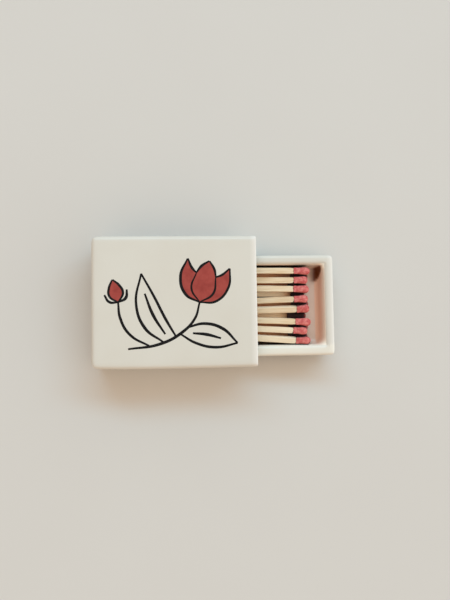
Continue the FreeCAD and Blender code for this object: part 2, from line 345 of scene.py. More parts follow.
# %% Block out the tray
TRAY_WALL = 3.3 * MM
TRAY_FLOOR = 2.4 * MM
RIM_EDGE = 1.1 * MM
WELL_LEAN = 0.8 * MM
WELL_FRONT_LEAN = 1.55 * MM
WELL_OFF_MIDDLE = 0.4 * MM
WELL_FOOT = 1.6 * MM
WELL_PARTS_ALONG = 12
WELL_PARTS_ACROSS = 7

tray_low, tray_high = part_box("tray")
well_low = tray_low + Vector((TRAY_WALL, TRAY_WALL + WELL_OFF_MIDDLE, TRAY_FLOOR))
well_high = tray_high - Vector((TRAY_WALL, TRAY_WALL, 0))
well_size = well_high - well_low
well_middle = (well_low + well_high) / 2

tray = add_block("porcelain_tray", tray_low, tray_high)
with editing(tray):
    pick_faces(tray, lambda middle, normal: normal.z > FACING)
    bpy.ops.mesh.inset(thickness=TRAY_WALL)
    off_middle = (1, well_size.y / (well_size.y + WELL_OFF_MIDDLE), 1)
    bpy.ops.transform.resize(value=off_middle, center_override=well_high)
    bpy.ops.mesh.extrude_region_move(TRANSFORM_OT_translate={"value": (0, 0, -well_size.z)})
    drawn_in = (1 - (WELL_LEAN + WELL_FRONT_LEAN) / well_size.x, 1 - 2 * WELL_LEAN / well_size.y, 1)
    bpy.ops.transform.resize(value=drawn_in, center_override=well_middle)
    bpy.ops.transform.translate(value=((WELL_LEAN - WELL_FRONT_LEAN) / 2, 0, 0))
    cut_across("x", evenly(well_low.x, well_high.x, WELL_PARTS_ALONG))
    cut_across("y", evenly(well_low.y, well_high.y, WELL_PARTS_ACROSS))
    cut_across("z", [(well_low.z + WELL_FOOT + well_high.z - RIM_EDGE) / 2])
report(tray)

# %% [markdown]
# ## Rounding the tray
# The tray is sponged like the sleeve, and the corners and the foot of its well are rounded most, so that
# a finger can follow them. Bevels made one after another would pinch where the foot meets the corners, so
# the same helpers weigh all the edges first and round them at once. The ripple is finer than on the
# sleeve, because the tray runs in the bay with little room to spare.

# %% Round and soften the tray
TRAY_CORNER = 1.5 * MM
TRAY_EDGE = 1.0 * MM
WELL_CORNER = 2.2 * MM
TRAY_RIPPLE = 0.1 * MM


def in_well(corner, slack=TOUCH):
    along = well_low.x - slack < corner.x < well_high.x + slack
    across = well_low.y - slack < corner.y < well_high.y + slack
    return along and across and corner.z > well_low.z - slack


def at_tray_corner(corner):
    at_end = near(corner.x, tray_low.x) or near(corner.x, tray_high.x)
    return at_end and (near(corner.y, tray_low.y) or near(corner.y, tray_high.y))


round_edges(tray, [
    (TRAY_CORNER, at_tray_corner),
    (TRAY_EDGE, lambda corner: near(corner.z, tray_low.z)),
    (WELL_CORNER, in_well),
    (WELL_FOOT, lambda corner: near(corner.z, well_low.z) and in_well(corner)),
    (RIM_EDGE, lambda corner: near(corner.z, tray_high.z)),
], segments=3)
smooth(tray, levels=2)
weigh(tray, "soft", lambda corner: min(1.0, (corner.z - tray_low.z) / RIPPLE_FADE))
ripple(tray, CLAY_WAVE, TRAY_RIPPLE, group="soft")
report(tray)

# %% [markdown]
# ## Tools for painting
# A procedural material is a small graph of nodes. A few helpers keep each graph short: one starts a
# material, one feeds a socket with a number or with another node, and the rest are the building blocks
# that most finishes here use, which are noise, a slope between two levels, a blend of two colours and a
# bump. Colours are written as they look on a screen and turned into the linear light that the shader
# works in.

# %% Start a material and feed its sockets
def screen_colour(red, green, blue):
    """Levels from 0 to 255, as on a screen, turned into linear light."""
    def linear(level):
        share = level / 255
        return share / 12.92 if share <= 0.04045 else ((share + 0.055) / 1.055) ** 2.4

    return (linear(red), linear(green), linear(blue), 1.0)


def start_material(name, **constants):
    """A material with one shader, whose constant sockets are set here."""
    material = bpy.data.materials.new(name)
    material.use_nodes = True
    shader = material.node_tree.nodes["Principled BSDF"]
    for socket, value in constants.items():
        shader.inputs[socket.replace("_", " ")].default_value = value
    return material, material.node_tree, shader


def feed(tree, socket, value):
    """Link another node to the socket, or set it to a plain value."""
    if isinstance(value, bpy.types.NodeSocket):
        tree.links.new(value, socket)
    else:
        socket.default_value = value


def object_place(tree):
    return tree.nodes.new("ShaderNodeTexCoord").outputs["Object"]


print("helpers for finishes: colours, materials and sockets")

# %% Make noise, slopes, blends and bumps
def noise(tree, place, size, detail=3.0, contrast=0.5):
    """Noise from 0 to 1 whose blotches have about this size."""
    texture = tree.nodes.new("ShaderNodeTexNoise")
    feed(tree, texture.inputs["Vector"], place)
    texture.inputs["Scale"].default_value = 1 / size
    texture.inputs["Detail"].default_value = detail
    texture.inputs["Roughness"].default_value = contrast
    return texture.outputs["Fac"]


def ramp(tree, value, low, high, start=0.0, end=1.0):
    """Start below low, end above high, and a straight slope between them."""
    slope = tree.nodes.new("ShaderNodeMapRange")
    feed(tree, slope.inputs["Value"], value)
    for socket, number in zip(("From Min", "From Max", "To Min", "To Max"), (low, high, start, end)):
        slope.inputs[socket].default_value = number
    return slope.outputs["Result"]


def mix(tree, amount, first, second):
    """The first colour where the amount is 0, the second where it is 1."""
    blend = tree.nodes.new("ShaderNodeMix")
    blend.data_type = "RGBA"
    # the node has sockets for every kind of data, so those for colour are found by their type
    colour_sockets = [socket for socket in blend.inputs if socket.type == "RGBA"]
    feed(tree, blend.inputs["Factor"], amount)
    feed(tree, colour_sockets[0], first)
    feed(tree, colour_sockets[1], second)
    return next(socket for socket in blend.outputs if socket.type == "RGBA")


def bump(tree, shader, height, depth, strength):
    """Shade the surface as if it rose and fell with the height."""
    node = tree.nodes.new("ShaderNodeBump")
    node.inputs["Distance"].default_value = depth
    node.inputs["Strength"].default_value = strength
    feed(tree, node.inputs["Height"], height)
    tree.links.new(node.outputs["Normal"], shader.inputs["Normal"])


print("helpers for finishes: noise, ramp, mix and bump")

# %% [markdown]
# ## The glaze
# Porcelain under a clear ivory glaze is nearly one colour, and the eye reads it by small things: the tone
# drifts over a few centimetres, the glaze is a little uneven to a glancing light, a few pin-prick specks
# show, and it thins to a paler line at the wiped front ends, which is also painted lighter as a highlight
# where the light catches them. The underside is left bare, so that it doesn't stick in the kiln. A
# photograph could carry all this, but nodes have no seams and no edge. One function makes the glaze of both
# castings, and leaves room for the painted light and shade that only the tray's well gets.

# %% Mix the glaze
GLAZE_PALE = screen_colour(215, 213, 202)
GLAZE_DEEP = screen_colour(212, 209, 197)
LIP_PALE_AND_LIT = screen_colour(232, 229, 221)
BARE_CLAY = screen_colour(203, 194, 178)
SPECK_TONE = screen_colour(160, 138, 112)
TONE_DRIFT = 22 * MM
TONE_LEVELS = (0.35, 0.65)
ORANGE_PEEL = 4 * MM
PEEL_LEVELS = (0.3, 0.7)
PEEL_DEPTH = 0.02 * MM
SPECK_SPACING = 14 * MM
SPECK_LEVELS = (0.008, 0.014)
SPECK_STRENGTH = 0.4
LIP_BAND = 2.4 * MM
BARE_BAND = 0.5 * MM
GLAZE_ROUGHNESS = (0.3, 0.4)
BARE_ROUGHNESS = 0.75


def calculate(tree, operation, first, second):
    node = tree.nodes.new("ShaderNodeMath")
    node.operation = operation
    feed(tree, node.inputs[0], first)
    feed(tree, node.inputs[1], second)
    return node.outputs["Value"]


def glaze(name, base_height, front, light_and_shade=None):
    """Ivory glaze, bare below the base height, pale at the front end (thin glaze and a painted highlight);
    an optional function paints light and shade.
    """
    material, tree, shader = start_material(name, IOR=1.5, Coat_Weight=0.0)
    place = object_place(tree)
    axes = tree.nodes.new("ShaderNodeSeparateXYZ")
    tree.links.new(place, axes.inputs["Vector"])

    tone = mix(tree, ramp(tree, noise(tree, place, TONE_DRIFT), *TONE_LEVELS), GLAZE_PALE, GLAZE_DEEP)
    cells = tree.nodes.new("ShaderNodeTexVoronoi")
    tree.links.new(place, cells.inputs["Vector"])
    cells.inputs["Scale"].default_value = 1 / SPECK_SPACING
    speck = ramp(tree, cells.outputs["Distance"], *SPECK_LEVELS, SPECK_STRENGTH, 0.0)
    tone = mix(tree, speck, tone, SPECK_TONE)
    # paler at the front end: thinner glaze there, and a painted highlight where the light catches the end
    tone = mix(tree, ramp(tree, axes.outputs["X"], front - LIP_BAND, front), tone, LIP_PALE_AND_LIT)
    if light_and_shade:
        tone = light_and_shade(tree, tone)
    bare = ramp(tree, axes.outputs["Z"], base_height, base_height + BARE_BAND, 1.0, 0.0)
    feed(tree, shader.inputs["Base Color"], mix(tree, bare, tone, BARE_CLAY))

    peel = noise(tree, place, ORANGE_PEEL, detail=2.0)
    glazed = ramp(tree, peel, *PEEL_LEVELS, *GLAZE_ROUGHNESS)
    dulled = calculate(tree, "MAXIMUM", glazed, calculate(tree, "MULTIPLY", bare, BARE_ROUGHNESS))
    feed(tree, shader.inputs["Roughness"], dulled)
    bump(tree, shader, peel, PEEL_DEPTH, strength=0.15)
    return material


sleeve_glaze = glaze("sleeve_glaze", sleeve_low.z, sleeve_high.x)
print("mixed", sleeve_glaze.name)

# %% [markdown]
# ## Painted light and shade in the well
# In the well, light and shade are painted into the glaze: it is lighter near the rim, blushed by red light
# that bounces off the heads, darkened by a painted shadow in one corner, and darker with painted shade in
# the narrow gaps. No noise can tell where these are, so the finish reads the first three from attributes,
# numbers that are kept on the mesh, and finds the gaps with an Ambient Occlusion node.

# %% Paint light and shade into the glaze of the well
RIM_LIGHT = screen_colour(248, 244, 228)
RED_BOUNCE_TONE = screen_colour(244, 192, 162)
CORNER_SHADOW_TONE = screen_colour(106, 52, 20)
GAP_SHADE = screen_colour(40, 26, 18)
WELL_GAP = 8 * MM
WELL_GAP_SHARES = (0.26, 0.12)


def read_attribute(tree, name):
    node = tree.nodes.new("ShaderNodeAttribute")
    node.attribute_name = name
    return node


def crevice(tree, reach, open_share, closed_share):
    """1 deep in a gap narrower than the reach, 0 in the open."""
    node = tree.nodes.new("ShaderNodeAmbientOcclusion")
    node.inputs["Distance"].default_value = reach
    return ramp(tree, node.outputs["AO"], closed_share, open_share, 1.0, 0.0)


def well_light_and_shade(tree, tone):
    """The tone in the well, with light and shade painted in: lighter near the rim, red bounce light, a
    corner shadow, and shade in narrow gaps.
    """
    for mark, mark_tone in (("rim_light", RIM_LIGHT), ("red_bounce", RED_BOUNCE_TONE), ("corner_shadow", CORNER_SHADOW_TONE)):
        tone = mix(tree, read_attribute(tree, mark).outputs["Fac"], tone, mark_tone)
    # painted shade in the narrow gaps
    return mix(tree, crevice(tree, WELL_GAP, *WELL_GAP_SHARES), tone, GAP_SHADE)


tray_glaze = glaze("tray_glaze", tray_low.z, tray_high.x, light_and_shade=well_light_and_shade)
print("mixed", tray_glaze.name)

# %% [markdown]
# ## Marking the painted light and shade
# Now the marks themselves. In Texture Paint we would brush them on, but then they would need an image. A
# number on each corner of the mesh needs none, and it can be worked out from where the corner lies: how
# far below the rim, how near the front wall and how near the shadowed corner.

# %% Keep numbers on a mesh
def clamped(number):
    return max(0.0, min(1.0, number))


def paint_attribute(piece, name, strength_at):
    """Keep a number on each corner of the mesh, for a finish to read."""
    layer = piece.data.attributes.new(name, "FLOAT", "POINT")
    for corner, cell in zip(piece.data.vertices, layer.data):
        cell.value = strength_at(corner.co)


print("helper for wear: one number on each corner")

# %% Mark the painted light and shade of the well
BOUNCE_REACH = 3.2 * MM
BOUNCE_DEEP = 0.8 * MM
BOUNCE_BELOW_RIM = 4.5 * MM
FLOOR_BOUNCE_SHARE = 0.5
SHADOW_SLOPE = 0.93
SHADOW_FADE = 1.1 * MM
SHADOW_REACH = 4.8 * MM
SHADOW_THIN = 2.2 * MM
SHADOW_CLEAR = 0.5 * MM
RIM_LIGHT_DEPTH = 4.0 * MM
NEAR_RIM_SHARE = 0.4


def red_bounce_strength(corner):
    """Painted red light bounced from the heads: most on the wall that they face, half on the floor, none on
    the rim.
    """
    if not in_well(corner, slack=TRAY_RIPPLE):
        return 0.0
    along = clamped((corner.x - well_high.x + BOUNCE_REACH) / BOUNCE_DEEP)
    below = clamped((tray_high.z - corner.z) / BOUNCE_BELOW_RIM)
    return max(FLOOR_BOUNCE_SHARE, along) * below


def corner_shadow_strength(corner):
    """Painted shadow of the side wall towards the light, on the front wall and the floor before it, sloping
    down from one corner of the well.
    """
    if not in_well(corner, slack=TRAY_RIPPLE):
        return 0.0
    below = tray_high.z - corner.z
    from_side = well_high.y - WELL_LEAN * below / well_size.z - corner.y
    depth = clamped((SHADOW_SLOPE * below - from_side) / SHADOW_FADE)
    along = clamped((corner.x - well_high.x + SHADOW_REACH) / SHADOW_THIN)
    return depth * along * clamped(from_side / SHADOW_CLEAR)


def rim_light_strength(corner):
    """Painted light: lighter on the upper part of the well's walls, and less so on the near rim."""
    upper = clamped(2 - 2 * (tray_high.z - corner.z) / RIM_LIGHT_DEPTH)
    if corner.y < well_low.y:
        return NEAR_RIM_SHARE * upper
    return upper if in_well(corner, slack=TRAY_RIPPLE) else 0.0


# painted light: lighter near the rim
paint_attribute(tray, "rim_light", rim_light_strength)
# painted red light bounced from the heads
paint_attribute(tray, "red_bounce", red_bounce_strength)
# painted shadow in one corner of the well
paint_attribute(tray, "corner_shadow", corner_shadow_strength)
print("marked", len(tray.data.vertices), "corners of the tray")

# %% [markdown]
# ## Into the frame
# A finished piece has to follow the body that carries it, or the tray would slide out and leave its glaze
# behind. One helper does all of this and paints the piece.

# %% Put both castings in place
def put_in_place(piece, material, body, slot, *nodes):
    """Paint a finished piece and let it ride on its body, in place of the nodes that it stands for."""
    piece.data.materials.clear()
    piece.data.materials.append(material)
    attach(piece, body)
    if nodes:
        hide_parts(*nodes)


put_in_place(sleeve, sleeve_glaze, "sleeve", "porcelain", "sleeve")
put_in_place(tray, tray_glaze, "tray", "porcelain", "tray")
print("glazed the sleeve and the tray")

# %% [markdown]
# ## The striker strip
# Safety matches light only on a strip of red phosphorus, glue and powdered glass. Here it is a thin card
# plate in a shallow seat on the back. We cut its broad face into a fine grid and push it about with cloud
# noise, so the grit is real shape that catches the light, and not only a picture of grit.

# %% Model the striker strip
STRIKER_CORNER = 0.6 * MM
GRIT_CELL = 0.3 * MM
GRIT_SIZE = 0.35 * MM
GRIT_HEIGHT = 0.12 * MM
GRIT_SINK_SHARE = 0.25

striker = add_block("striker_surface", striker_low, striker_high)
striker_size = striker_high - striker_low
with editing(striker, pick="EDGE"):
    shape = bmesh.from_edit_mesh(striker.data)
    for edge in shape.edges:
        first, second = edge.verts
        edge.select_set(not near(first.co.y, second.co.y))
    bpy.ops.mesh.bevel(offset=STRIKER_CORNER, segments=5, affect="EDGES")
    cut_across("x", evenly(striker_low.x, striker_high.x, round(striker_size.x / GRIT_CELL)))
    cut_across("z", evenly(striker_low.z, striker_high.z, round(striker_size.z / GRIT_CELL)))
weigh(striker, "grit", lambda corner: 1.0 if near(corner.y, striker_high.y) else 0.0)
ripple(striker, GRIT_SIZE, GRIT_HEIGHT, group="grit")
with editing(striker):
    bpy.ops.mesh.select_all(action="SELECT")
    bpy.ops.transform.translate(value=(0, -GRIT_SINK_SHARE * GRIT_HEIGHT, 0))
report(striker)

# %% [markdown]
# ## The striker's finish
# The dried paste is dull and dark red-brown, patchy where there was more glue, with the odd glint of
# glass. One flat colour would look like card, so a broad noise mixes two browns and a fine, sparse one
# adds paler flecks as painted glints of the glass.

# %% Paint the striker strip
STRIKER_BROWN = screen_colour(92, 58, 48)
STRIKER_DARK = screen_colour(58, 36, 32)
GLASS_GLINT = screen_colour(150, 118, 100)
GLUE_PATCH = 6 * MM
GLUE_LEVELS = (0.35, 0.65)
GLINT_SIZE = 0.25 * MM
GLINT_LEVELS = (0.62, 0.7)
GRIT_GRAIN = 0.2 * MM
GRIT_DEPTH = 0.05 * MM


def striker_finish():
    material, tree, shader = start_material("striker_grit", Roughness=0.85)
    place = object_place(tree)
    patch = ramp(tree, noise(tree, place, GLUE_PATCH), *GLUE_LEVELS)
    tone = mix(tree, patch, STRIKER_BROWN, STRIKER_DARK)
    # paler flecks painted into the colour as glints of glass
    glints = ramp(tree, noise(tree, place, GLINT_SIZE, detail=1.0), *GLINT_LEVELS)
    feed(tree, shader.inputs["Base Color"], mix(tree, glints, tone, GLASS_GLINT))
    bump(tree, shader, noise(tree, place, GRIT_GRAIN), GRIT_DEPTH, strength=0.6)
    return material


put_in_place(striker, striker_finish(), "sleeve", "striker", "striker_strip")
print("painted", striker.name)

# %% [markdown]
# ## One match stick
# A stick is split from aspen, a little over two millimetres square, with long shallow ridges where the
# blade followed the grain. Cloud noise is the same in every direction, so we use a trick: model the stick
# squeezed short, ripple it, and then stretch it to its length, which draws the noise out into grain. The
# end that sits inside the head is drawn in a little, as the dip hides it.

# %% Model one stick
STICK_WIDTH = 2.15 * MM
STICK_LENGTH = 36.5 * MM
HEAD_GRIP = 3.0 * MM
GRAIN_STRETCH = 14
GRAIN_WIDTH = 0.5 * MM
GRAIN_HEIGHT = 0.16 * MM
STICK_EDGE = 0.1 * MM
HIDDEN_SHARE = 0.82
STICK_RINGS = 26
STICK_STRIPS = 8
END_FACING = 0.7
FACET_ANGLE = math.radians(50)

half_stick = STICK_WIDTH / 2
squeezed = STICK_LENGTH / GRAIN_STRETCH
stick_pattern = add_block("stick_pattern", Vector((-squeezed, -half_stick, -half_stick)),
                          Vector((0, half_stick, half_stick)))
with editing(stick_pattern, pick="EDGE"):
    pick_sharp_edges(stick_pattern, lambda corner: True)
    bpy.ops.mesh.bevel(offset=STICK_EDGE, segments=1, affect="EDGES")
    cut_across("x", evenly(-squeezed, 0, STICK_RINGS))
    for axis in ("y", "z"):
        cut_across(axis, evenly(-half_stick, half_stick, STICK_STRIPS))
ripple(stick_pattern, GRAIN_WIDTH, GRAIN_HEIGHT)
with editing(stick_pattern):
    bpy.ops.mesh.select_all(action="SELECT")
    bpy.ops.transform.resize(value=(GRAIN_STRETCH, 1, 1), center_override=(0, 0, 0))
    pick_faces(stick_pattern, lambda middle, normal: normal.x > END_FACING and middle.x > -STICK_EDGE)
    bpy.ops.mesh.extrude_region_move(TRANSFORM_OT_translate={"value": (STICK_EDGE, 0, 0)})
    bpy.ops.transform.resize(value=(1, HIDDEN_SHARE, HIDDEN_SHARE), center_override=(0, 0, 0))
    bpy.ops.mesh.extrude_region_move(TRANSFORM_OT_translate={"value": (HEAD_GRIP - 2 * STICK_EDGE, 0, 0)})
activate(stick_pattern)
bpy.ops.object.shade_smooth_by_angle(angle=FACET_ANGLE)
report(stick_pattern)

# %% [markdown]
# ## One match head
# The head is dipped twice in red paste: it starts square, as a thin coat on the stick, swells, and ends
# in a round drop. A stretched sphere would be round all the way, so we begin with a square that has eight
# corners on its outline, extrude it ring by ring with a new size each time, and draw in the corners of
# the later rings.

# %% Model one head
HEAD_LENGTH = 5.5 * MM
HEAD_WIDTH = 3.3 * MM
NECK_WIDTH = 2.33 * MM
NECK_SHARE = 0.035
HEAD_RING_SHARES = ((0.22, 0.75), (0.42, 0.89), (0.62, 1.03), (0.8, 0.98), (0.93, 0.7), (1.0, 0.28))
ROUND_FROM_SHARE = 0.4
ROUND_SHARE = 0.82

bpy.ops.mesh.primitive_grid_add(x_subdivisions=2, y_subdivisions=2, size=NECK_WIDTH,
                                rotation=(0, math.pi / 2, 0))
bpy.ops.object.transform_apply(rotation=True)
head_pattern = bpy.context.object
head_pattern.name = head_pattern.data.name = "head_pattern"
with editing(head_pattern):
    bpy.ops.mesh.select_all(action="SELECT")
    reached = 0.0
    width = NECK_WIDTH
    for place_share, width_share in ((NECK_SHARE, NECK_WIDTH / HEAD_WIDTH), *HEAD_RING_SHARES):
        step = place_share * HEAD_LENGTH - reached
        bpy.ops.mesh.extrude_region_move(TRANSFORM_OT_translate={"value": (step, 0, 0)})
        grow = width_share * HEAD_WIDTH / width
        bpy.ops.transform.resize(value=(1, grow, grow), center_override=(0, 0, 0))
        reached += step
        width *= grow
    bpy.ops.mesh.select_all(action="SELECT")
    bpy.ops.mesh.normals_make_consistent(inside=False)
with editing(head_pattern, pick="VERT"):
    for corner in bmesh.from_edit_mesh(head_pattern.data).verts:
        at_corner = near(abs(corner.co.y), abs(corner.co.z))
        corner.select_set(at_corner and corner.co.x > ROUND_FROM_SHARE * HEAD_LENGTH)
    bpy.ops.transform.resize(value=(1, ROUND_SHARE, ROUND_SHARE), center_override=(0, 0, 0))
report(head_pattern)

# %% [markdown]
# ## The skin of the head
# Subdivision rounds the rings. Creases keep the first of them square, or the corners of the stick would
# show through. Two ripples follow, a slow one for the lumpy drop and a quick one for the grains. A bump
# in the material would be quicker, but it would not show in the outline, and these do.

# %% Round and roughen the head
SQUARE_UNTIL_SHARE = 0.25
NECK_CREASE = 0.85
NECK_ROUGH_SHARE = 0.15
LUMP_SIZE = 1.3 * MM
LUMP_HEIGHT = 0.2 * MM
GRAIN_SIZE = 0.3 * MM
GRAIN_BUMP = 0.09 * MM

with editing(head_pattern, pick="EDGE"):
    shape = bmesh.from_edit_mesh(head_pattern.data)
    for edge in shape.edges:
        first, second = (corner.co for corner in edge.verts)
        at_corner = all(near(abs(end.y), abs(end.z)) for end in (first, second))
        edge.select_set(at_corner and max(first.x, second.x) < SQUARE_UNTIL_SHARE * HEAD_LENGTH)
    bpy.ops.transform.edge_crease(value=NECK_CREASE)
smooth(head_pattern, levels=3)
weigh(head_pattern, "drop", lambda corner: max(NECK_ROUGH_SHARE, min(1.0, corner.x / HEAD_GRIP)))
ripple(head_pattern, LUMP_SIZE, LUMP_HEIGHT, group="drop")
ripple(head_pattern, GRAIN_SIZE, GRAIN_BUMP, group="drop")
report(head_pattern)

# %% [markdown]
# ## Aspen wood
# Aspen is pale, with straight fibres, so its colour streaks run along the stick. A wave texture would
# give even stripes, so noise is stretched along the grain instead. Each stick keeps its own grain
# coordinates as an attribute on its mesh, because the fibres have to turn with the stick, and a second
# attribute says how old the wood is and where light and shade are painted on it. Little light comes back
# from deep between the sticks, and what does has bounced from wood to wood and turned warm, so the gaps
# get a painted shade of their own, darker and warmer.

# %% Mix the wood
WOOD_PALE = screen_colour(233, 215, 183)
WOOD_STREAK = screen_colour(212, 181, 137)
WOOD_AGED_AND_SHADED = screen_colour(112, 66, 34)
WOOD_GAP_SHADE = screen_colour(200, 112, 46)
WOOD_FRESH_AND_LIT = screen_colour(250, 240, 216)
FIBRE_LENGTH = 9 * MM
FIBRE_WIDTH = 0.35 * MM
FIBRE_DEPTH = 0.06 * MM
FIBRE_LEVELS = (0.42, 0.72)
BROAD_WIDTH = 4 * FIBRE_WIDTH
BROAD_LEVELS = (0.45, 0.8)
BROAD_STRENGTH = 0.7
STICK_GAP = 3 * MM
STICK_GAP_SHARES = (0.5, 0.15)


def stretched(tree, place, scales):
    """The same place measured by other scales along X, Y and Z."""
    mapping = tree.nodes.new("ShaderNodeMapping")
    feed(tree, mapping.inputs["Vector"], place)
    mapping.inputs["Scale"].default_value = scales
    return mapping.outputs["Vector"]


def wood_finish():
    material, tree, shader = start_material("aspen_wood", Roughness=0.7)
    place = read_attribute(tree, "grain").outputs["Vector"]
    fibres = stretched(tree, place, (FIBRE_WIDTH / FIBRE_LENGTH, 1, 1))
    streaks = noise(tree, fibres, FIBRE_WIDTH, detail=4.0, contrast=0.6)
    broad = noise(tree, fibres, BROAD_WIDTH, detail=2.0)
    tone = mix(tree, ramp(tree, streaks, *FIBRE_LEVELS), WOOD_PALE, WOOD_STREAK)
    tone = mix(tree, ramp(tree, broad, *BROAD_LEVELS, 0.0, BROAD_STRENGTH), tone, WOOD_STREAK)
    # painted shade and warm bounce light deep in the gaps
    tone = mix(tree, crevice(tree, STICK_GAP, *STICK_GAP_SHARES), tone, WOOD_GAP_SHADE)
    age_and_shading = read_attribute(tree, "age_and_shading").outputs["Fac"]
    # below 0: fresher wood, and painted light on two lower sticks; above 0: older wood and painted shadow
    tone = mix(tree, ramp(tree, age_and_shading, -1.0, 0.0, 1.0, 0.0), tone, WOOD_FRESH_AND_LIT)
    feed(tree, shader.inputs["Base Color"], mix(tree, age_and_shading, tone, WOOD_AGED_AND_SHADED))
    bump(tree, shader, streaks, FIBRE_DEPTH, strength=0.6)
    return material


wood = wood_finish()
print("mixed", wood.name)

# %% [markdown]
# ## Match compound
# The paste is chalky coral red with paler and darker grains, and it hardly shines. One plain red would
# look like wax, so one noise gives the grains and a broader one the patches. Each head is darkened with
# painted shade where it lies in a gap, and the heads that lie under others get a second, shaded copy of
# the paste, whose painted shade starts sooner.

# %% Mix the paste
PASTE_RED = screen_colour(197, 89, 86)
PASTE_PALE = screen_colour(225, 136, 127)
PASTE_DARK = screen_colour(150, 50, 50)
PASTE_SHADE = screen_colour(40, 8, 10)
PASTE_GRAIN = 0.28 * MM
PASTE_DEPTH = 0.08 * MM
PASTE_PATCH = 4 * PASTE_GRAIN
PATCH_LEVELS = (0.4, 0.7)
DARK_GRAIN_LEVELS = (0.3, 0.42)
DARK_GRAIN_STRENGTH = 0.75
PALE_GRAIN_LEVELS = (0.58, 0.68)
PALE_GRAIN_STRENGTH = 0.6
HEAD_GAP = 5 * MM
TOP_GAP_SHARES = (0.85, 0.4)
BURIED_GAP_SHARES = (0.95, 0.6)


def paste_finish(name, gap_shares):
    material, tree, shader = start_material(name, Roughness=0.78)
    place = object_place(tree)
    grains = noise(tree, place, PASTE_GRAIN, detail=2.0, contrast=0.7)
    patches = noise(tree, place, PASTE_PATCH)
    tone = mix(tree, ramp(tree, patches, *PATCH_LEVELS), PASTE_RED, PASTE_PALE)
    dark_grains = ramp(tree, grains, *DARK_GRAIN_LEVELS, DARK_GRAIN_STRENGTH, 0.0)
    tone = mix(tree, dark_grains, tone, PASTE_DARK)
    pale_grains = ramp(tree, grains, *PALE_GRAIN_LEVELS, 0.0, PALE_GRAIN_STRENGTH)
    tone = mix(tree, pale_grains, tone, PASTE_PALE)
    # painted shade where the head lies in a gap
    head_shade = crevice(tree, HEAD_GAP, *gap_shares)
    feed(tree, shader.inputs["Base Color"], mix(tree, head_shade, tone, PASTE_SHADE))
    bump(tree, shader, grains, PASTE_DEPTH, strength=0.7)
    return material


paste = paste_finish("match_paste", TOP_GAP_SHARES)
shaded_paste = paste_finish("shaded_paste", BURIED_GAP_SHARES)
print("mixed", paste.name, "and", shaded_paste.name)

# %% [markdown]
# ## How each match lies
# Fifteen places and turns could be typed in, but the frame knows them: a stick's node is a bar with eight
# corners, and from one corner the two nearest corners point across the bar and the fourth nearest points
# along it. That gives the place and the turn to which a copy of the pattern is moved. Each copy has a
# mesh of its own, and each stick remembers where its corners lay before the move, so that the grain
# follows it.

# %% Find how the matches lie
PLACE_DIGITS = 7


def stick_frame(node):
    """The place and turn of a match: its origin where the head starts, X along it, Z nearly up."""
    # a solid is kept as loose triangles, so each of its corners is there several times
    corners = {tuple(round(number, PLACE_DIGITS) for number in corner.co) for corner in node.data.vertices}
    start = Vector(min(corners))
    ordered = sorted((Vector(corner) for corner in corners), key=lambda corner: (corner - start).length)
    along = (ordered[4] - start).normalized()
    across = [(ordered[index] - start).normalized() for index in (1, 2)]
    up = max(across, key=lambda axis: abs(axis.z))
    up = up if up.z > 0 else -up
    middle = sum(ordered, Vector()) / len(ordered)
    front = middle + along * (ordered[4] - start).length / 2
    turn = Matrix((along, up.cross(along), up)).transposed().to_4x4()
    return Matrix.Translation(front - along * HEAD_GRIP) @ turn


match_names = sorted(name[len("stick_"):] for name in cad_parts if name.startswith("stick_"))
print("found", len(match_names), "matches in the frame")

# %% Copy a pattern
def copy_of(pattern, name, matrix):
    piece = bpy.data.objects.new(name, pattern.data.copy())
    piece.data.name = name
    piece.data.transform(matrix)
    bpy.context.scene.collection.objects.link(piece)
    return piece


def drawn_out(fixed, share):
    """Stretch along X by a share, about a place that stays where it is."""
    place = Matrix.Translation((fixed, 0, 0))
    return place @ Matrix.Scale(share, 4, (1, 0, 0)) @ place.inverted()


def keep_grain(piece, shift):
    """Remember where each corner lay on the stick, moved to a stretch of wood of its own."""
    layer = piece.data.attributes.new("grain", "FLOAT_VECTOR", "POINT")
    for corner, cell in zip(piece.data.vertices, layer.data):
        cell.vector = corner.co + shift


print("helpers for laying: copy, draw out and keep the grain")

# %% [markdown]
# ## Laying the matches
# No two matches in a box look alike. Modelling each one would take long, so each copy is turned by
# quarter turns, which shows another side of the pattern. The heads were dipped a little more or less
# deep, and some sticks are fresher or older wood. Two lower sticks are painted lighter for the light that
# reaches them in their gaps, and the lower sticks get a painted shadow of the heads above them, which
# deepens towards their own heads.

# %% Tell the matches apart
HEAD_SHADOW = 0.85
HEAD_SHADOW_REACH = 9 * MM
FRESH_SHADOW_SHARE = 0.4
TOP_DIP_SHARES = (1.12, 0.97, 1.07, 0.97, 0.86, 1.06, 0.97, 1.0)
BOTTOM_DIP_SHARES = (1.2, 1.3, 0.95, 1.2, 1.3, 1.35, 1.35)
# the values for bottom_3 and bottom_5 paint the light that reaches them in their gaps; the rest are the
# wood's own tone
WOOD_AGES_AND_LIGHT = {"top_4": 0.1, "top_5": -0.25, "top_7": -0.3, "top_8": -0.5, "bottom_3": -0.9, "bottom_5": -0.5}

dip_shares = {f"top_{number}": share for number, share in enumerate(TOP_DIP_SHARES, 1)}
dip_shares.update({f"bottom_{number}": share for number, share in enumerate(BOTTOM_DIP_SHARES, 1)})


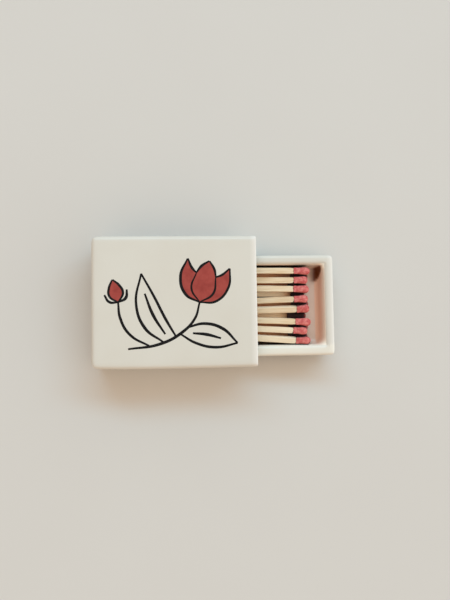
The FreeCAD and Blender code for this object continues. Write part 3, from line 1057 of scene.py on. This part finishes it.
def age_and_shading_at(match_name, corner):
    """How old the wood looks, with light and shade painted in: one tone on top, and below a painted shadow
    of the heads above that deepens towards the head.
    """
    age_and_shading = WOOD_AGES_AND_LIGHT.get(match_name, 0.0)
    if match_name.startswith("top"):
        return age_and_shading
    reach = HEAD_SHADOW_REACH * (FRESH_SHADOW_SHARE if age_and_shading < 0 else 1)
    # below, a painted shadow of the heads above, deepest at the head
    return age_and_shading + (HEAD_SHADOW - age_and_shading) * clamped(1 + corner.x / reach)


print("heads dipped from", min(dip_shares.values()), "to", max(dip_shares.values()), "of the pattern")

# %% Lay the matches in the tray
GRAIN_SHIFT = 40 * MM
QUARTER = math.pi / 2
SEED = 7

# seeded, so that every run lays and draws alike
dice = random.Random(SEED)
for match_name in match_names:
    lies = stick_frame(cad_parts[f"stick_{match_name}"])
    stick_turn = Matrix.Rotation(QUARTER * dice.randrange(4), 4, "X")
    head_turn = Matrix.Rotation(QUARTER * dice.randrange(4), 4, "X")
    shift = Vector(dice.uniform(-GRAIN_SHIFT, GRAIN_SHIFT) for _ in range(3))
    dip_share = dip_shares[match_name]
    bared_share = 1 + (1 - dip_share) * HEAD_LENGTH / STICK_LENGTH
    stick = copy_of(stick_pattern, f"match_stick_{match_name}", stick_turn)
    keep_grain(stick, shift)
    paint_attribute(stick, "age_and_shading", lambda corner: age_and_shading_at(match_name, corner))
    stick.data.transform(lies @ drawn_out(-STICK_LENGTH, bared_share))
    put_in_place(stick, wood, "tray", "match_wood", f"stick_{match_name}")
    dipped = drawn_out(HEAD_LENGTH, dip_share)
    head = copy_of(head_pattern, f"match_head_{match_name}", lies @ dipped @ head_turn)
    covered = match_name.startswith("bottom")
    # the lower heads get the shaded copy of the paste
    put_in_place(head, shaded_paste if covered else paste, "tray", "match_compound", f"head_{match_name}")
for pattern in (stick_pattern, head_pattern):
    bpy.data.objects.remove(pattern)
print("laid", len(match_names), "matches")

# %% [markdown]
# ## The drawing on the sleeve
# The top carries a drawing under the glaze: a tulip in black brush lines with brick-red petals. It could
# be laid on as a picture, but lines that are planned by a few points each stay sharp and can be changed
# by hand. Lines that meet in a point give the petals and the leaves their tips, and the bloom and the bud
# are drawn by halves and mirrored.

# %% Plan the tulip
BLOOM_PLACE = Vector((10.4, 6.4, 0))
BLOOM_LEAN = math.radians(-14)
BUD_PLACE = Vector((-20.4, 3.2, 0))
BUD_LEAN = math.radians(14)

# One side of the bloom and of the bud, in millimetres from their middle; the other side mirrors it.
PETAL_BACK = ((0, -7), (5.4, -5.4), (8.6, 0.4), (7.6, 7))
PETAL_FRONT = ((7.6, 7), (5.4, 4.1), (3.5, 2.8))
MIDDLE_LOW = ((0, -7), (3.9, -3), (3.5, 2.8))
MIDDLE_HIGH = ((3.5, 2.8), (2.3, 5.5), (0, 7.9))
BUD_SIDE = ((0, -3.4), (2.4, -0.6), (1.8, 2.2), (0, 4.7))
SEPAL = ((0, -3.4), (2.9, -2.6), (4, 0.2))
# Lines that are drawn once, in millimetres from the middle of the sleeve.
STEM = ((8.7, -0.4), (7, -6), (2, -11.2), (-5.6, -14.9), (-16.2, -16.4))
BUD_STALK = ((-8.6, -15.6), (-15.6, -11.4), (-18.9, -5.6), (-19.6, -0.1))
TALL_LEAF = (((0.4, -12.4), (-3.2, -6.2), (-7.2, 1.8), (-11.6, 9.8)),
             ((-4, -14.2), (-10.4, -9.2), (-13.4, -0.6), (-11.6, 9.8)),
             ((-3.4, -11.4), (-7.6, -4.6), (-10.4, 2.8)))
LOW_LEAF = (((4.2, -9.2), (10.2, -7.9), (16.6, -9.7), (21.8, -14.8)),
            ((1.8, -11.4), (7.4, -14.7), (14.4, -16.2), (21.8, -14.8)),
            ((6.2, -11.2), (11, -11.7), (16, -13.1)))


def mirrored(points):
    return tuple((-x, y) for x, y in reversed(points))


def placed(points, place, lean):
    turn = Matrix.Rotation(lean, 3, "Z")
    return [tuple((turn @ Vector((x, y, 0)) + place).xy) for x, y in points]


bloom_half = (PETAL_BACK, PETAL_FRONT, MIDDLE_HIGH)
bloom_sides = (*bloom_half, *(mirrored(side) for side in reversed(bloom_half)))
middle_lines = (MIDDLE_LOW, mirrored(MIDDLE_LOW))
bud_sides = (BUD_SIDE, mirrored(BUD_SIDE))
sepals = (SEPAL, mirrored(SEPAL))
lines = [STEM, BUD_STALK, *TALL_LEAF, *LOW_LEAF]
lines += [placed(line, BLOOM_PLACE, BLOOM_LEAN) for line in (*bloom_sides, *middle_lines)]
lines += [placed(line, BUD_PLACE, BUD_LEAN) for line in (*bud_sides, *sepals)]
print("planned", len(lines), "brush lines")

# %% [markdown]
# ## Curves that become strokes
# A brush line is a smooth curve through its points. It could stay a curve, which is easy to change later,
# but a piece has to be a mesh that lies on the porcelain, so it is converted, pressed flat and lifted to
# the top of the sleeve.

# %% Helpers for drawing
CURVE_STEPS = 14


def draw_line(name, points, closed=False, tips=()):
    """A smooth line through points in millimetres, with a sharp turn at each tip."""
    line = bpy.data.curves.new(name, "CURVE")
    line.resolution_u = CURVE_STEPS
    spline = line.splines.new("BEZIER")
    spline.bezier_points.add(len(points) - 1)
    spline.use_cyclic_u = closed
    for knot, (x, y) in zip(spline.bezier_points, points):
        knot.co = (x * MM, y * MM, 0)
        knot.handle_left_type = knot.handle_right_type = "VECTOR" if (x, y) in tips else "AUTO"
    piece = bpy.data.objects.new(name, line)
    bpy.context.scene.collection.objects.link(piece)
    return piece


def made_mesh(piece, flatten):
    """Turn a curve into a mesh, press it flat and lift it to the top of the sleeve."""
    activate(piece)
    bpy.ops.object.convert(target="MESH")
    with editing(piece):
        bpy.ops.mesh.select_all(action="SELECT")
        bpy.ops.transform.resize(value=(1, 1, flatten), center_override=(0, 0, 0))
        bpy.ops.transform.translate(value=(0, 0, sleeve_high.z))
    return piece


print("helpers for drawing: lines and flat meshes")

# %% [markdown]
# ## Brush and colour
# Lines of one width would look printed, so the radius at a point of the curve is the pressure of the
# brush, which is lifted at both ends. Bevelled to a tube and pressed flat, the line becomes a stroke a
# few hundredths of a millimetre thick. The petals and the bud are flat filled curves that lie under the
# strokes.

# %% Press the brush and fill a patch
BRUSH_WIDTH = 0.98 * MM
INK_THICKNESS = 0.06 * MM
RED_THICKNESS = 0.03 * MM
PRESSURE_SHARES = (0.9, 1.2)
LIFTED_SHARE = 0.7


def brush_stroke(name, points):
    piece = draw_line(name, points)
    piece.data.dimensions = "3D"
    piece.data.bevel_depth = BRUSH_WIDTH / 2
    piece.data.bevel_resolution = 3
    piece.data.use_fill_caps = True
    knots = piece.data.splines[0].bezier_points
    for knot in knots:
        knot.radius = dice.uniform(*PRESSURE_SHARES)
    knots[0].radius = knots[-1].radius = LIFTED_SHARE
    return made_mesh(piece, INK_THICKNESS / BRUSH_WIDTH)


def red_patch(name, sides, place, lean):
    """A filled outline whose sides meet in sharp tips."""
    tips = placed([side[-1] for side in sides], place, lean)
    outline = placed([point for side in sides for point in side[:-1]], place, lean)
    piece = draw_line(name, outline, closed=True, tips=tips)
    piece.data.dimensions = "2D"
    piece.data.fill_mode = "BOTH"
    piece.data.extrude = RED_THICKNESS / 2
    return made_mesh(piece, 1)


print("brush", round(BRUSH_WIDTH / MM, 2), "mm wide")

# %% Draw the tulip
def joined(name, pieces):
    activate(pieces[0])
    for piece in pieces:
        piece.select_set(True)
    bpy.ops.object.join()
    pieces[0].name = pieces[0].data.name = name
    return pieces[0]


strokes = [brush_stroke(f"line_{number}", line) for number, line in enumerate(lines)]
flower_ink = joined("flower_ink", strokes)
patches = [red_patch("bloom_red", bloom_sides, BLOOM_PLACE, BLOOM_LEAN),
           red_patch("bud_red", bud_sides, BUD_PLACE, BUD_LEAN)]
flower_red = joined("flower_red", patches)
report(flower_ink)
report(flower_red)

# %% [markdown]
# ## Ceramic colours
# Both colours are fired under the glaze, so they share its soft gloss. The black is never quite even,
# since the brush runs dry here and there, and the red is mottled where the colour was thicker. A flat
# colour would look printed, so noise blends two tones of each.

# %% Mix the ceramic colours
INK_BLACK = screen_colour(6, 5, 5)
INK_THIN = screen_colour(20, 18, 17)
INK_BLOTCH = 1.5 * MM
BRICK_RED = screen_colour(164, 72, 64)
BRICK_DEEP = screen_colour(148, 60, 54)
BRICK_BLOTCH = 2.5 * MM
BLOTCH_LEVELS = (0.4, 0.68)
COLOUR_ROUGHNESS = (0.3, 0.42)


def ceramic_colour(name, tone, blotch_tone, blotch_size):
    material, tree, shader = start_material(name, IOR=1.5, Specular_IOR_Level=0.2)
    place = object_place(tree)
    blotches = ramp(tree, noise(tree, place, blotch_size, detail=4.0), *BLOTCH_LEVELS)
    feed(tree, shader.inputs["Base Color"], mix(tree, blotches, tone, blotch_tone))
    sheen = ramp(tree, noise(tree, place, ORANGE_PEEL), *PEEL_LEVELS, *COLOUR_ROUGHNESS)
    feed(tree, shader.inputs["Roughness"], sheen)
    return material


ink = ceramic_colour("ink_black", INK_BLACK, INK_THIN, INK_BLOTCH)
brick = ceramic_colour("brick_red", BRICK_RED, BRICK_DEEP, BRICK_BLOTCH)
put_in_place(flower_ink, ink, "sleeve", "porcelain")
put_in_place(flower_red, brick, "sleeve", "porcelain")
print("painted the tulip")

# %% [markdown]
# ## The floor
# A plain pale floor carries the shadow. A studio would curve it up behind the object, to hide the
# horizon, but this camera looks down, so a single plane is enough. It is painted with a very faint change
# of tone.

# %% Lay the floor
FLOOR_HALF = 1.5
FLOOR_TONE = screen_colour(211, 210, 204)
FLOOR_SHADE = screen_colour(208, 206, 200)
FLOOR_BLOTCH = 60 * MM

bpy.ops.mesh.primitive_plane_add(size=2 * FLOOR_HALF)
floor = bpy.context.object
floor.name = "floor"
floor_paint, floor_tree, floor_shader = start_material("floor_paint", Roughness=0.9)
blotches = noise(floor_tree, object_place(floor_tree), FLOOR_BLOTCH)
feed(floor_tree, floor_shader.inputs["Base Color"], mix(floor_tree, blotches, FLOOR_TONE, FLOOR_SHADE))
floor.data.materials.append(floor_paint)
print("floor", 2 * FLOOR_HALF, "m wide")

# %% [markdown]
# ## The light of the room
# The room's own light is warm, with more from the right than from the left. A ring of lamps could give
# it, but the world does it with one graph. A Light Path node lets the world light the box in this way
# while the camera, and the gloss of the glaze, see a plain pale backdrop.

# %% Light the room
BACKDROP = (0.66, 0.65, 0.62, 1.0)
ROOM_DIM = (0.42, 0.19, 0.07, 1.0)
ROOM_BRIGHT = (1.42, 1.36, 1.3, 1.0)
ROOM_OVERHEAD = (0.91, 0.72, 0.55, 1.0)
ROOM_BRIGHT_SIDE = (0.95, 0.3, 0.0)
ROOM_TOP_FROM = 0.3

world = bpy.data.worlds.new("room")
world.use_nodes = True
room = world.node_tree
way = room.nodes.new("ShaderNodeTexCoord").outputs["Generated"]
facing = room.nodes.new("ShaderNodeVectorMath")
facing.operation = "DOT_PRODUCT"
room.links.new(way, facing.inputs[0])
facing.inputs[1].default_value = ROOM_BRIGHT_SIDE
height = room.nodes.new("ShaderNodeSeparateXYZ")
room.links.new(way, height.inputs["Vector"])
around = mix(room, ramp(room, facing.outputs["Value"], -1.0, 1.0), ROOM_DIM, ROOM_BRIGHT)
room_light = mix(room, ramp(room, height.outputs["Z"], ROOM_TOP_FROM, 1.0), around, ROOM_OVERHEAD)
path = room.nodes.new("ShaderNodeLightPath")
seen = path.outputs["Is Camera Ray"]
for also_seen in ("Is Glossy Ray", "Is Transmission Ray"):
    seen = calculate(room, "MAXIMUM", seen, path.outputs[also_seen])
feed(room, room.nodes["Background"].inputs["Color"], mix(room, seen, room_light, BACKDROP))
bpy.context.scene.world = world
print("lit the room with", len(room.nodes), "nodes")

# %% [markdown]
# ## The window
# Daylight comes from a wide window beyond the box, so the shadow is crisp along the front and soft at its
# ends. A sun would make it crisp all round, so the window is one long, low, distant area lamp.

# %% Hang the window
WINDOW_COLOUR = (0.27, 0.62, 0.88)
WINDOW_POWER = 67
WINDOW_WIDTH = 4.6
WINDOW_HEIGHT = 0.72
WINDOW_DISTANCE = 3.0
WINDOW_AZIMUTH = math.radians(76)
WINDOW_ELEVATION = math.radians(47.5)

lamp = bpy.data.lights.new("window", "AREA")
lamp.shape = "RECTANGLE"
lamp.size = WINDOW_WIDTH
lamp.size_y = WINDOW_HEIGHT
lamp.energy = WINDOW_POWER
lamp.color = WINDOW_COLOUR
window = bpy.data.objects.new("window", lamp)
towards = Vector((math.cos(WINDOW_AZIMUTH) * math.cos(WINDOW_ELEVATION),
                  math.sin(WINDOW_AZIMUTH) * math.cos(WINDOW_ELEVATION), math.sin(WINDOW_ELEVATION)))
window.location = towards * WINDOW_DISTANCE
window.rotation_euler = towards.to_track_quat("Z", "Y").to_euler()
bpy.context.scene.collection.objects.link(window)
print("window", WINDOW_DISTANCE, "m away")

# %% [markdown]
# ## The camera
# The box is seen from some 24 centimetres above the floor, almost straight down, so its walls draw
# together towards the floor. An orthographic camera would lose that depth, so this is a perspective one,
# with the place, the turn and the lens of such a view. Colours are shown by the Standard view, as they
# were written.

# %% Place the camera
CAMERA_PLACE = Vector((2.54, -14.2, 238.2)) * MM
CAMERA_TURN = tuple(math.radians(angle) for angle in (3.82, -3.86, -0.89))
CAMERA_LENS = 37.74

view = bpy.data.cameras.new("camera")
view.lens = CAMERA_LENS
camera = bpy.data.objects.new("camera", view)
camera.location = CAMERA_PLACE
camera.rotation_euler = Euler(CAMERA_TURN)
bpy.context.scene.collection.objects.link(camera)
bpy.context.scene.camera = camera
bpy.context.scene.view_settings.view_transform = "Standard"
print("camera", round(CAMERA_PLACE.z / MM), "mm above the floor")
